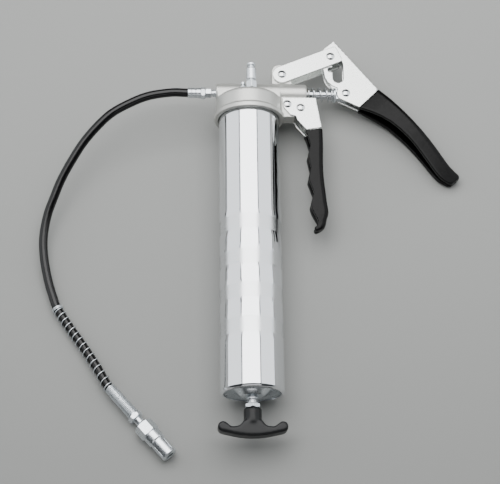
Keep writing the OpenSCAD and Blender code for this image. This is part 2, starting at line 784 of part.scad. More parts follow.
module guard_wound_end() {
    pitch_s = 1.7;
    ribs = floor((wound_len - 1) / pitch_s);
    color("#dfe3e6") coupler_turning() polygon(concat(
        [[4.85, -wound_len + 0.6], [5.1, -wound_len + 0.6]],
        [for (i = [1:ribs - 1], k = [0:1]) [5.1 + 0.3 * k, -wound_len + 0.6 + (i + k / 2) * pitch_s]],
        [[5.1, 0.6], [4.85, 0.6]]));
}

module coupler_ferrule() {
    color("#cfd2d4") coupler_turning() polygon([
        [hose_r + 0.05, -28], [4.8, -28], [4.8, nut_s], [1.6, nut_s], [1.6, -4.9], [hose_r + 0.05, -4.9]]);
}

module ferrule_nut() {
    color("#e3e6e8") on_coupler(nut_s) difference() {
        hex_bar(12, 4.8);
        translate([0, 0, -1]) cylinder(r = 1.6, h = 8, $fn = fine_fn);
    }
}

module coupler_stem() {
    color("#cfd2d4") coupler_turning() polygon([
        [1.6, nut_s + 4.8], [4, nut_s + 4.8], [4, hex_s - 2], [2.9, hex_s - 1], [2.9, hex_s + 8],
        [1.6, hex_s + 8]]);
}

module coupler_body() {
    color("#e3e6e8") difference() {
        union() {
            on_coupler(hex_s) hex_bar(coupler_af, 12);
            on_coupler(hex_s + 11) cylinder(r = 6.2, h = 8, $fn = fine_fn);
        }
        on_coupler(hex_s - 1) cylinder(r = 2.9, h = 9.02, $fn = fine_fn);
        on_coupler(hex_s + 7.9) cylinder(r = 1.6, h = 8, $fn = fine_fn);
        on_coupler(hex_s + 12) cylinder(r = 5.2, h = 9, $fn = fine_fn);
    }
}

module coupler_sleeve() {
    color("#dfe3e6") difference() {
        coupler_turning(round_fn) polygon([
            [6.2, sleeve_s], [8, sleeve_s], [8, sleeve_s + 8], [sleeve_r, sleeve_s + 9],
            [sleeve_r, mouth_s - 1], [sleeve_r - 1, mouth_s], [mouth_r, mouth_s], [mouth_r, mouth_s - 3],
            [5.9, mouth_s - 3], [5.9, sleeve_s + 8], [6.2, sleeve_s + 7.4]]);
        for (i = [0:3]) on_coupler(sleeve_s + 12) rotate([0, 0, 45 + 90 * i])
            translate([5, -0.6, 0]) cube([4, 1.2, 11.5]);
    }
}

module coupler_jaws() {
    color("#9da1a4") for (i = [0:3]) on_coupler() rotate([0, 0, 90 * i]) intersection() {
        rotate_extrude($fn = fine_fn) polygon([
            [mouth_r - 0.5, mouth_s - 9], [5.8, mouth_s - 9], [5.8, mouth_s - 5], [4.9, mouth_s - 3.2],
            [mouth_r - 0.5, mouth_s - 3.2]]);
        rotate([0, 0, 3]) translate([0.3, 0.3, mouth_s - 10]) cube([8, 8, 8]);
    }
}

module coupler_seal() {
    color("#2b2b2b") coupler_turning() translate([1.5, mouth_s - 12]) square([3.5, 2.8]);
}

module coupler_spring() {
    color("#9a9c9e") on_coupler(hex_s + 12.2) coil(3.6, 0.9, 6, mouth_s - 12 - hex_s - 12.3, 16);
}

module coupler_ball() {
    color("#c9ccce") on_coupler(mouth_s - 13.55) sphere(r = 2.1, $fn = fine_fn);
}

pump_head();
head_gasket();
filler_body();
filler_valve_pin();
bleeder_body();
bleeder_pin();
outlet_adapter();
outlet_check_ball();
outlet_check_spring();
plunger_seal();
packing_nut();
fixed_handle_channel();
fixed_handle_grip();
fixed_handle_rivets();
link_plate_front();
link_plate_back();
link_head_pin();
link_lever_pin();
lever_channel();
lever_grip();
lever_plunger_pin();
plunger();
spring_collar();
return_spring();
barrel_tube();
end_cap();
rod_bush();
follower_spring();
follower_plate();
follower_cup();
follower_retainer();
follower_rod();
rod_nut();
t_handle();
hose_swivel_nut();
hose_head_ferrule();
hose();
spring_guard();
guard_wound_end();
coupler_ferrule();
ferrule_nut();
coupler_stem();
coupler_body();
coupler_sleeve();
coupler_jaws();
coupler_seal();
coupler_spring();
coupler_ball();
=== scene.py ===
"""Looks of a pistol-lever grease gun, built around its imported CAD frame.

Every piece lies in the frame's own axes, in metres. The tool's own axes (X along the pump boss,
Y up the barrel, Z off its back) come from the joints, and sizes along them are in millimetres.
"""

from __future__ import annotations

import json
import logging
import math
from dataclasses import dataclass, field
from enum import Enum
from typing import Any, Iterable, Sequence

import bpy
import numpy as np
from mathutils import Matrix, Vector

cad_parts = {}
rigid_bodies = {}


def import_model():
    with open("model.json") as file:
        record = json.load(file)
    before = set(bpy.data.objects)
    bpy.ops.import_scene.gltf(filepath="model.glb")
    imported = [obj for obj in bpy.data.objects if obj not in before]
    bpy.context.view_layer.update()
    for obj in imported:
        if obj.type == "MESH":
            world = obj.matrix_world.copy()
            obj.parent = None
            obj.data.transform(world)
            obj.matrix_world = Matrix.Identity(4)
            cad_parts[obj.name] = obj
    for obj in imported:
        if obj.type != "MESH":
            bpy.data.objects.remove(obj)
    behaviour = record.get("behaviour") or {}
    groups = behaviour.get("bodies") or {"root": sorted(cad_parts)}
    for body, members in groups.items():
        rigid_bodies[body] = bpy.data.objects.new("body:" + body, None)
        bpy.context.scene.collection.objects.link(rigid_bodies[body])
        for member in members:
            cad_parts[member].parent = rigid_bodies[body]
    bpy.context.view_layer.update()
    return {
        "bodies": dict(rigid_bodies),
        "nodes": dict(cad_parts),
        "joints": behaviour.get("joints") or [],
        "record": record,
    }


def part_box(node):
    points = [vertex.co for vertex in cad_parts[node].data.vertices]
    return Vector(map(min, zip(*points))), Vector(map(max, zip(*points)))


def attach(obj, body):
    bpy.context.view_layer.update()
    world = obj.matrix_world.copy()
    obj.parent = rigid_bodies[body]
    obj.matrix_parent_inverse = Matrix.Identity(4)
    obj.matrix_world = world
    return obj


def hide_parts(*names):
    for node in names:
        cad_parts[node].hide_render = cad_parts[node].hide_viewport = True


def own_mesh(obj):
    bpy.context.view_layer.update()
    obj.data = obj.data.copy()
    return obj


LOG = logging.getLogger("grease_gun")
MM = 0.001
TURN = 2 * math.pi
# Between these two values lies nearly all of a noise texture
NOISE_LOW, NOISE_HIGH = 0.3, 0.7
LEAST_ROUGHNESS = 0.02
# How far up the barrel axis the middle of the pump boss stands, in millimetres
BOSS_MM = 297.0


# ---------------------------------------------------------------- numbers and curves


def srgb(code: str) -> tuple[float, float, float, float]:
    """Turn an sRGB hex colour into linear RGBA.

    Args:
        code: The colour, such as "c9cbca".

    Returns:
        The colour in linear light, with alpha 1.
    """
    part = np.array([int(code[i : i + 2], 16) for i in (0, 2, 4)]) / 255
    linear = np.where(part <= 0.04045, part / 12.92, ((part + 0.055) / 1.055) ** 2.4)
    return (*linear.tolist(), 1.0)


def unit(v: np.ndarray) -> np.ndarray:
    """Scale each row of v to length one."""
    return v / np.linalg.norm(v, axis=-1, keepdims=True)


def smooth_curve(knots: np.ndarray, t: np.ndarray) -> np.ndarray:
    """Follow a Catmull-Rom curve, which passes through each knot with the slope between its neighbours.

    Args:
        knots: The points that the curve passes through, one a row.
        t: Places along it, where a whole number is a knot.

    Returns:
        One point for each place.
    """
    last = len(knots) - 1
    i = np.clip(np.floor(t).astype(int), 0, last - 1)
    f = (t - i)[:, None]
    a, b, c, d = (knots[np.clip(i + k, 0, last)] for k in (-1, 0, 1, 2))
    return 0.5 * (2 * b + (c - a) * f + (2 * a - 5 * b + 4 * c - d) * f**2 + (3 * b - a - 3 * c + d) * f**3)


def grid_faces(rows: int, columns: int, ring: bool = False) -> np.ndarray:
    """Number the quads of a grid whose columns close on themselves.

    Args:
        rows: How many rings of points there are.
        columns: How many points each ring has.
        ring: Whether the last ring joins the first.

    Returns:
        Four point numbers a row.
    """
    row = np.arange(rows if ring else rows - 1)[:, None]
    column = np.arange(columns)[None, :]
    here, there = row * columns, (row + 1) % rows * columns
    after = (column + 1) % columns
    return np.stack([here + column, here + after, there + after, there + column], -1).reshape(-1, 4)


@dataclass(frozen=True)
class Surface:
    """Points in metres and the faces between them."""

    points: np.ndarray
    faces: list[list[int]]


def swept(centres: np.ndarray, u: np.ndarray, v: np.ndarray, radius: np.ndarray, sides: int) -> Surface:
    """Sweep a circle: each ring is centre + radius (cos a u + sin a v), with a flat end at each side.

    Args:
        centres: The rings' centres, in metres.
        u: A unit vector for each ring.
        v: A unit vector square to u for each ring, so that u x v points along the sweep.
        radius: Each ring's radius, in metres.
        sides: How many points a ring has.

    Returns:
        The closed tube.
    """
    a = np.arange(sides) / sides * TURN
    across = np.cos(a)[None, :, None] * u[:, None] + np.sin(a)[None, :, None] * v[:, None]
    points = centres[:, None] + radius[:, None, None] * across
    end = (len(centres) - 1) * sides
    faces = grid_faces(len(centres), sides).tolist()
    faces += [list(range(sides))[::-1], list(range(end, end + sides))]
    return Surface(points.reshape(-1, 3), faces)


# ---------------------------------------------------------------- finishes


def add_node(
    tree: bpy.types.NodeTree, kind: str, settings: dict[str, Any], links: dict[str, Any]
) -> bpy.types.Node:
    """Add a shader node.

    Args:
        tree: The material's node tree.
        kind: The node's Blender type.
        settings: Values for its properties, or for its inputs where no property has that name.
        links: The output that feeds each named input.

    Returns:
        The new node.
    """
    made = tree.nodes.new(kind)
    for name, value in settings.items():
        if hasattr(made, name):
            setattr(made, name, value)
        else:
            made.inputs[name].default_value = value
    for name, source in links.items():
        tree.links.new(source, made.inputs[name])
    return made


@dataclass(frozen=True)
class Finish:
    """A material and how its surface was made.

    Attributes:
        name: The material's common name and process.
        colour: Its sRGB hex colour.
        metallic: 1 for bare metal, 0 for plastic and rubber.
        roughness: Its roughness in the middle of the range.
        spread: How far roughness wanders either side.
        grain_mm: Size of the surface's grain.
        stretch: How much longer the grain is along each axis.
        relief_mm: Height of the grain.
        tone: How far the colour wanders, as a share.
        specular: How strongly a plastic or rubber reflects, where 0.5 is an index of 1.5.
    """

    name: str
    colour: str
    metallic: float
    roughness: float
    spread: float = 0.04
    grain_mm: float = 2.0
    stretch: tuple[float, float, float] = (1.0, 1.0, 1.0)
    relief_mm: float = 0.0
    tone: float = 0.0
    specular: float = 0.5

    def material(self) -> bpy.types.Material:
        """Build the material: noise on Object coordinates moves roughness, colour and relief.

        Returns:
            The material, made once for each name.
        """
        if self.name in bpy.data.materials:
            return bpy.data.materials[self.name]
        made = bpy.data.materials.new(self.name)
        made.use_nodes = True
        tree = made.node_tree
        shader = tree.nodes["Principled BSDF"]
        shader.inputs["Base Color"].default_value = srgb(self.colour)
        shader.inputs["Metallic"].default_value = self.metallic
        shader.inputs["Specular IOR Level"].default_value = self.specular
        place = add_node(tree, "ShaderNodeTexCoord", {}, {})
        scale = tuple(1 / (MM * self.grain_mm * s) for s in self.stretch)
        mapping = add_node(tree, "ShaderNodeMapping", {"Scale": scale}, {"Vector": place.outputs["Object"]})
        grain = add_node(
            tree,
            "ShaderNodeTexNoise",
            {"Scale": 1.0, "Detail": 3.0, "Roughness": 0.55},
            {"Vector": mapping.outputs["Vector"]},
        )
        low, high = self.roughness - self.spread, self.roughness + self.spread
        rough = add_node(
            tree,
            "ShaderNodeMapRange",
            {
                "From Min": NOISE_LOW,
                "From Max": NOISE_HIGH,
                "To Min": max(low, LEAST_ROUGHNESS),
                "To Max": high,
            },
            {"Value": grain.outputs["Fac"]},
        )
        tree.links.new(rough.outputs["Result"], shader.inputs["Roughness"])
        if self.tone:
            base = srgb(self.colour)
            ramp = add_node(tree, "ShaderNodeValToRGB", {}, {"Fac": grain.outputs["Fac"]})
            stops = ramp.color_ramp.elements
            for stop, at, share in zip(stops, (NOISE_LOW, NOISE_HIGH), (1 - self.tone, 1 + self.tone)):
                stop.position = at
                stop.color = (*(min(c * share, 1.0) for c in base[:3]), 1.0)
            tree.links.new(ramp.outputs["Color"], shader.inputs["Base Color"])
        if self.relief_mm:
            bump = add_node(
                tree,
                "ShaderNodeBump",
                {"Strength": 1.0, "Distance": self.relief_mm * MM},
                {"Height": grain.outputs["Fac"]},
            )
            tree.links.new(bump.outputs["Normal"], shader.inputs["Normal"])
        return made


class Finishes(Enum):
    """Every finish on the tool."""

    # Die-cast aluminium, tumbled: soft sheen and a fine sand-like skin
    CAST_HEAD = Finish(
        "die_cast_aluminium_tumbled", "c6c6c2", 0.75, 0.42, 0.05, 0.7, relief_mm=0.02, tone=0.03
    )
    # Chrome on drawn steel tube: a mirror with very slight draw lines
    CHROME = Finish("bright_chrome_on_drawn_tube", "e9ebee", 1.0, 0.07, 0.02, 6.0, (1, 8, 1))
    # Knurled bands: the same chrome, broken into small facets
    KNURL = Finish("chrome_over_rolled_knurl", "e6e8ea", 1.0, 0.22, 0.04, 1.5)
    # Zinc plate on pressed steel: bright, with the mill's fine speckle
    ZINC_PRESSING = Finish(
        "bright_zinc_on_pressed_steel", "e4e6e4", 0.95, 0.3, 0.07, 0.9, relief_mm=0.006, tone=0.04
    )
    # Cold-headed rivets, plated: smoother than the sheet
    RIVET = Finish("plated_cold_headed_steel", "e9ebec", 1.0, 0.2, 0.03, 1.5)
    # Turned and plated hardware, and the pressed cap: soft reflections, slightly blue
    ZINC_HARDWARE = Finish("clear_zinc_on_turned_steel", "dfe4e8", 1.0, 0.3, 0.05, 1.2, tone=0.02)
    # Ground steel of the plunger and rod
    GROUND_STEEL = Finish("ground_carbon_steel", "c9ccd0", 1.0, 0.24, 0.05, 0.8, (1, 6, 1))
    # Spring wire, drawn and plated
    SPRING_WIRE = Finish("drawn_spring_wire_plated", "dcdfe2", 1.0, 0.22, 0.03, 1.0)
    # Vinyl dip on the handles: black, soft edges, a wet-looking skin
    VINYL = Finish("dipped_black_vinyl", "090909", 0.0, 0.24, 0.04, 3.0, relief_mm=0.01, specular=0.13)
    # Moulded T-handle: black ABS with a fine spark texture
    ABS = Finish("moulded_black_abs", "151617", 0.0, 0.34, 0.04, 0.5, relief_mm=0.005, specular=0.25)
    # Hose cover: smooth extruded rubber, glossy black
    HOSE = Finish("extruded_black_rubber_cover", "0a0a0b", 0.0, 0.2, 0.03, 4.0, specular=0.35)
    # Seals and follower: moulded nitrile
    NITRILE = Finish("moulded_nitrile_rubber", "161616", 0.0, 0.55, 0.05, 1.0)
    # The filler's valve pin and the packing nut: turned brass
    BRASS = Finish("turned_brass", "b99a5a", 1.0, 0.28, 0.05, 1.0)


# ---------------------------------------------------------------- the frame


@dataclass
class Tool:
    """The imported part: its nodes, its bodies and the tool's own axes.

    Attributes:
        ring_mm: How far up the barrel axis the head's lip stands, where barrel_turn is placed.
        body: The body that each node rides on.
        slot: The material slot of each node.
        axes: The tool's X, Y and Z in the frame, one a row.
        origin: Where the barrel's axis meets the plane of its foot, in metres.
    """

    frame: dict[str, Any]
    ring_mm: float = 268.0
    body: dict[str, str] = field(init=False)
    slot: dict[str, str] = field(init=False)
    axes: np.ndarray = field(init=False)
    origin: np.ndarray = field(init=False)

    def __post_init__(self) -> None:
        """Read bodies, slots and axes from the record."""
        record = self.frame["record"]
        groups = record["behaviour"]["bodies"]
        self.body = {node: name for name, nodes in groups.items() for node in nodes}
        self.slot = {part["node"]: part["material_slot"] for part in record["subparts"]}
        joints = {joint["name"]: joint for joint in self.frame["joints"]}
        x = -np.array(joints["plunger_slide"]["axis"])
        y = np.array(joints["barrel_turn"]["axis"])
        self.axes = np.stack([x, y, np.cross(x, y)])
        self.origin = np.array(joints["barrel_turn"]["pos_m"]) - self.ring_mm * MM * y

    def place(self, points_mm: np.ndarray) -> np.ndarray:
        """Move points from the tool's own axes, in millimetres, to the frame, in metres."""
        return self.origin + np.asarray(points_mm) * MM @ self.axes

    def turn(self, directions: np.ndarray) -> np.ndarray:
        """Turn directions from the tool's own axes to the frame."""
        return np.asarray(directions) @ self.axes

    def finish_node(self, node: str, finish: Finishes) -> None:
        """Give a CAD node that stays in view its finish."""
        mesh = self.frame["nodes"][node].data
        mesh.materials.clear()
        mesh.materials.append(finish.value.material())
        LOG.info("node %s: %s", node, finish.value.name)

    def add(self, name: str, shape: Surface, node: str, finish: Finishes) -> bpy.types.Object:
        """Make a piece that stands for a CAD node.

        Args:
            name: The piece's name.
            shape: Its points and faces.
            node: The CAD node that it replaces.
            finish: Its finish.

        Returns:
            The new object, riding on the node's body.
        """
        mesh = bpy.data.meshes.new(name)
        mesh.from_pydata(shape.points.tolist(), [], shape.faces)
        mesh.update()
        return self.adopt(bpy.data.objects.new(name, mesh), node, finish)

    def adopt(self, piece: bpy.types.Object, node: str, finish: Finishes) -> bpy.types.Object:
        """Link a piece, shade it smooth, and let it ride for a CAD node."""
        if piece.name not in bpy.context.scene.collection.objects:
            bpy.context.scene.collection.objects.link(piece)
        piece.data.materials.clear()
        piece.data.materials.append(finish.value.material())
        piece.data.shade_smooth()
        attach(piece, self.body[node])
        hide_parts(node)
        LOG.info("piece %s: %d faces", piece.name, len(piece.data.polygons))
        return piece

    def soften(self, node: str, voxel_mm: float, passes: int, finish: Finishes) -> bpy.types.Object:
        """Round a CAD node's edges: its merged copy is remeshed and then relaxed.

        Args:
            node: The CAD node.
            voxel_mm: Size of the new faces.
            passes: How many times each point moves halfway to the middle of its neighbours.
            finish: Its finish.

        Returns:
            The new object.
        """
        piece = self.frame["nodes"][node].copy()
        piece.data = piece.data.copy()
        piece.name = f"{node}_softened"
        for key in list(piece.keys()):
            del piece[key]
        piece.parent = None
        bpy.context.scene.collection.objects.link(piece)
        weld = piece.modifiers.new("weld", "WELD")
        weld.merge_threshold = 1e-6
        remesh = piece.modifiers.new("remesh", "REMESH")
        remesh.mode = "VOXEL"
        remesh.voxel_size = voxel_mm * MM
        relax = piece.modifiers.new("relax", "SMOOTH")
        relax.factor = 0.5
        relax.iterations = passes
        graph = bpy.context.evaluated_depsgraph_get()
        shape = bpy.data.meshes.new_from_object(piece.evaluated_get(graph))
        piece.modifiers.clear()
        piece.data = shape
        return self.adopt(piece, node, finish)


# ---------------------------------------------------------------- springs


@dataclass(frozen=True)
class Spring:
    """A coil spring between two points, with its end turns closed.

    Attributes:
        node: The CAD node that it replaces.
        joint: The joint that shortens it. Not used.
        radius_mm: Mean radius.
        wire_mm: Wire diameter.
        turns: Turns in all.
        travel_mm: How far it is shortened when the joint stands at its own limit. Not used.
        steps: How many rings of the wire there are in a turn.
        sides: How many points a ring has.
    """

    node: str
    joint: str
    radius_mm: float
    wire_mm: float
    turns: float
    travel_mm: float
    steps: int = 36
    sides: int = 12

    def build(self, tool: Tool, start: np.ndarray, end: np.ndarray) -> bpy.types.Object:
        """Wind the wire: it turns evenly and climbs one wire a turn at each end, evenly between.

        Args:
            tool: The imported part.
            start: Middle of the end that stays, in metres.
            end: Middle of the end that moves, in metres.

        Returns:
            The coil.
        """
        length = float(np.linalg.norm(end - start))
        ahead = (end - start) / length
        side = unit(np.cross(ahead, [0.3, 0.2, 1.0]))
        up = np.cross(ahead, side)
        turn = np.linspace(0, self.turns, int(self.turns * self.steps))
        wire = self.wire_mm * MM
        middle = np.clip((turn - 1) / (self.turns - 2), 0, 1) * (length - 3 * wire)
        climb = wire / 2 + wire * np.minimum(turn, 1) + middle + wire * np.maximum(turn - self.turns + 1, 0)
        angle = turn * TURN
        out = np.cos(angle)[:, None] * side + np.sin(angle)[:, None] * up
        centres = start + climb[:, None] * ahead + self.radius_mm * MM * out
        radius = np.full(len(turn), wire / 2)
        shape = swept(centres, np.broadcast_to(ahead, out.shape), out, radius, self.sides)
        piece = tool.add(f"{self.node}_coil", shape, self.node, Finishes.SPRING_WIRE)
        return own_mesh(piece)


# ---------------------------------------------------------------- hose and coupler


# The hose's route in the frame, in millimetres, from inside the head's ferrule to inside the coupler's
HOSE_ROUTE = [
    [-127.5, 138.9, 40.5],
    [-137.4, 138.8, 41.8],
    [-152, 139.1, 43.1],
    [-172.5, 136.2, 44],
    [-190, 130, 43.5],
    [-208.5, 120.5, 42],
    [-223, 108, 39.5],
    [-236.5, 93, 36],
    [-248, 76, 32],
    [-258, 59, 27.5],
    [-265, 43, 23.5],
    [-270.5, 29.5, 20],
    [-274, 15.5, 16.7],
    [-275.5, 2, 13.8],
    [-274.7, -12.5, 11],
    [-272.5, -26, 9],
    [-269.2, -39.5, 7.5],
    [-265.3, -51.5, 6.6],
    [-261, -62.5, 6],
    [-249.5, -80.5, 5.6],
    [-236, -99.5, 5.8],
    [-222.5, -120, 6.9],
    [-209.5, -141.5, 8.05],
    [-198.2, -154.2, 8.05],
    [-190.3, -163.2, 8.05],
]


@dataclass
class HoseAssembly:
    """The whip hose, its spring guard and the jaw coupler.

    Attributes:
        tool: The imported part.
        diameter_mm: The hose's diameter.
        guard_wire_mm: The guard's wire diameter.
        guard_gap_mm: Room between the hose and the guard.
        guard_from: Place along the route where the guard starts.
        guard_to: Place along the route where its open turns end.
        closed_turns: Turns that lie together at its start.
        closed_reach: How much of the route those turns take.
        open_turns: Turns that stand apart.
        wound_pitch_mm: Wire and pitch of the close turns over the coupler's ferrule.
        jacket_mm: Length of those close turns.
        jacket_lift_mm: Their distance from the middle at the start, a quarter along and at the end.
        jaw_spring_mm: Length of the spring behind the jaws.
        direction_step: Half the span of the route over which a direction is taken.
        hose_rings: How many rings of points the hose has.
        hose_sides: How many points a ring of the hose has.
        wire_sides: How many points a ring of the guard's wire has.
    """

    tool: Tool
    diameter_mm: float = 8.3
    guard_wire_mm: float = 1.15
    guard_gap_mm: float = 0.12
    guard_from: float = 18.0
    guard_to: float = 22.0
    closed_turns: float = 3.0
    closed_reach: float = 0.14
    open_turns: float = 14.5
    wound_pitch_mm: float = 1.4
    jacket_mm: float = 34.6
    jacket_lift_mm: tuple[float, float, float] = (4.3, 4.6, 4.9)
    jaw_spring_mm: float = 14.2
    direction_step: float = 0.02
    hose_rings: int = 321
    hose_sides: int = 24
    wire_sides: int = 10

    def frames(self, t: np.ndarray) -> tuple[np.ndarray, np.ndarray, np.ndarray, np.ndarray]:
        """Find the route's points and directions.

        Args:
            t: Places along the route.

        Returns:
            Points in metres, then unit vectors ahead, level to the side, and square to both.
        """
        knots = np.array(HOSE_ROUTE) * MM
        points = smooth_curve(knots, t)
        after = np.minimum(t + self.direction_step, len(knots) - 1)
        before = np.maximum(t - self.direction_step, 0)
        ahead = unit(smooth_curve(knots, after) - smooth_curve(knots, before))
        side = unit(np.stack([-ahead[:, 1], ahead[:, 0], 0 * ahead[:, 0]], 1))
        return points, ahead, side, np.cross(ahead, side)

    def length(self) -> float:
        """Measure the route in metres."""
        points = self.frames(np.linspace(0, len(HOSE_ROUTE) - 1, 2000))[0]
        return float(np.linalg.norm(np.diff(points, axis=0), axis=1).sum())

    def coil(
        self, name: str, node: str, t: np.ndarray, angle: np.ndarray, lift: np.ndarray, wire_mm: float
    ) -> None:
        """Wind a wire round the route: each centre is its point + lift (cos angle side + sin angle up).

        Args:
            name: The piece's name.
            node: The CAD node that it replaces.
            t: Places along the route.
            angle: Turn of the wire at each place.
            lift: Distance of the wire's middle from the route, in metres.
            wire_mm: The wire's diameter.
        """
        points, ahead, side, up = self.frames(t)
        out = np.cos(angle)[:, None] * side + np.sin(angle)[:, None] * up
        radius = np.full(len(t), wire_mm / 2 * MM)
        shape = swept(points + lift[:, None] * out, ahead, out, radius, self.wire_sides)
        self.tool.add(name, shape, node, Finishes.ZINC_HARDWARE)

    def jacket(self) -> None:
        """Wind the guard's close turns over the coupler's ferrule, a little wider towards the nut."""
        start, toward = (np.array(HOSE_ROUTE[i]) for i in (-3, -1))
        ahead = (toward - start) / np.linalg.norm(toward - start)
        side = unit(np.array([-ahead[1], ahead[0], 0.0]))
        up = np.cross(ahead, side)
        turns = (self.jacket_mm - self.wound_pitch_mm) / self.wound_pitch_mm
        turn = np.linspace(0, turns, int(turns * 24))
        out = np.cos(turn * TURN)[:, None] * side + np.sin(turn * TURN)[:, None] * up
        share = turn / turns
        lift = np.interp(share, [0, 0.25, 1], self.jacket_lift_mm)
        centres = start + ((turn + 0.5) * self.wound_pitch_mm)[:, None] * ahead + lift[:, None] * out
        radius = np.full(len(turn), self.wound_pitch_mm / 2 * MM)
        shape = swept(centres * MM, np.broadcast_to(ahead, out.shape), out, radius, self.wire_sides)
        self.tool.add("guard_close_coil", shape, "guard_wound_end", Finishes.ZINC_HARDWARE)

    def build(self) -> None:
        last = len(HOSE_ROUTE) - 1
        t = np.linspace(0, last, self.hose_rings)
        points, _, side, up = self.frames(t)
        radius = np.full(len(t), self.diameter_mm / 2 * MM)
        tube = swept(points, side, up, radius, self.hose_sides)
        hose = self.tool.add("whip_hose", tube, "hose", Finishes.HOSE)

        inner = (self.diameter_mm / 2 + self.guard_gap_mm + self.guard_wire_mm / 2) * MM
        turns = self.closed_turns + self.open_turns
        turn = np.linspace(0, turns, int(turns * 28))
        rest = self.guard_to - self.guard_from - self.closed_reach
        along = np.minimum(turn / self.closed_turns, 1) * self.closed_reach
        along = self.guard_from + along + np.maximum(turn - self.closed_turns, 0) / self.open_turns * rest
        lift = np.full(len(turn), inner)
        self.coil("guard_open_coil", "spring_guard", along, turn * TURN, lift, self.guard_wire_mm)

        self.jacket()
        pieces = [bpy.data.objects[name] for name in ("guard_open_coil", "guard_close_coil")]
        for node, voxel, passes in (
            ("hose_swivel_nut", 0.2, 3),
            ("hose_head_ferrule", 0.2, 3),
            ("ferrule_nut", 0.2, 3),
            ("coupler_stem", 0.2, 2),
            ("coupler_body", 0.25, 3),
            ("coupler_sleeve", 0.22, 2),
            ("coupler_jaws", 0.2, 2),
        ):
            pieces.append(self.tool.soften(node, voxel, passes, Finishes.ZINC_HARDWARE))
        for node, finish in (
            ("coupler_ferrule", Finishes.ZINC_HARDWARE),
            ("coupler_seal", Finishes.NITRILE),
            ("coupler_ball", Finishes.GROUND_STEEL),
        ):
            self.tool.finish_node(node, finish)
            pieces.append(self.tool.frame["nodes"][node])
        pieces.append(self.jaw_spring())

    def jaw_spring(self) -> bpy.types.Object:
        """Wind the spring behind the coupler's jaws, from the body to the seal."""
        joint = next(j for j in self.tool.frame["joints"] if j["name"] == "coupler_jaws_press")
        back = np.array(joint["axis"])
        low, high = (np.array(corner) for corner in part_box("coupler_spring"))
        reach = back * self.jaw_spring_mm / 2 * MM
        coil = Spring("coupler_spring", "coupler_jaws_press", 3.6, 0.9, 6, 1.2)
        return coil.build(self.tool, (low + high) / 2 + reach, (low + high) / 2 - reach)


# ---------------------------------------------------------------- barrel


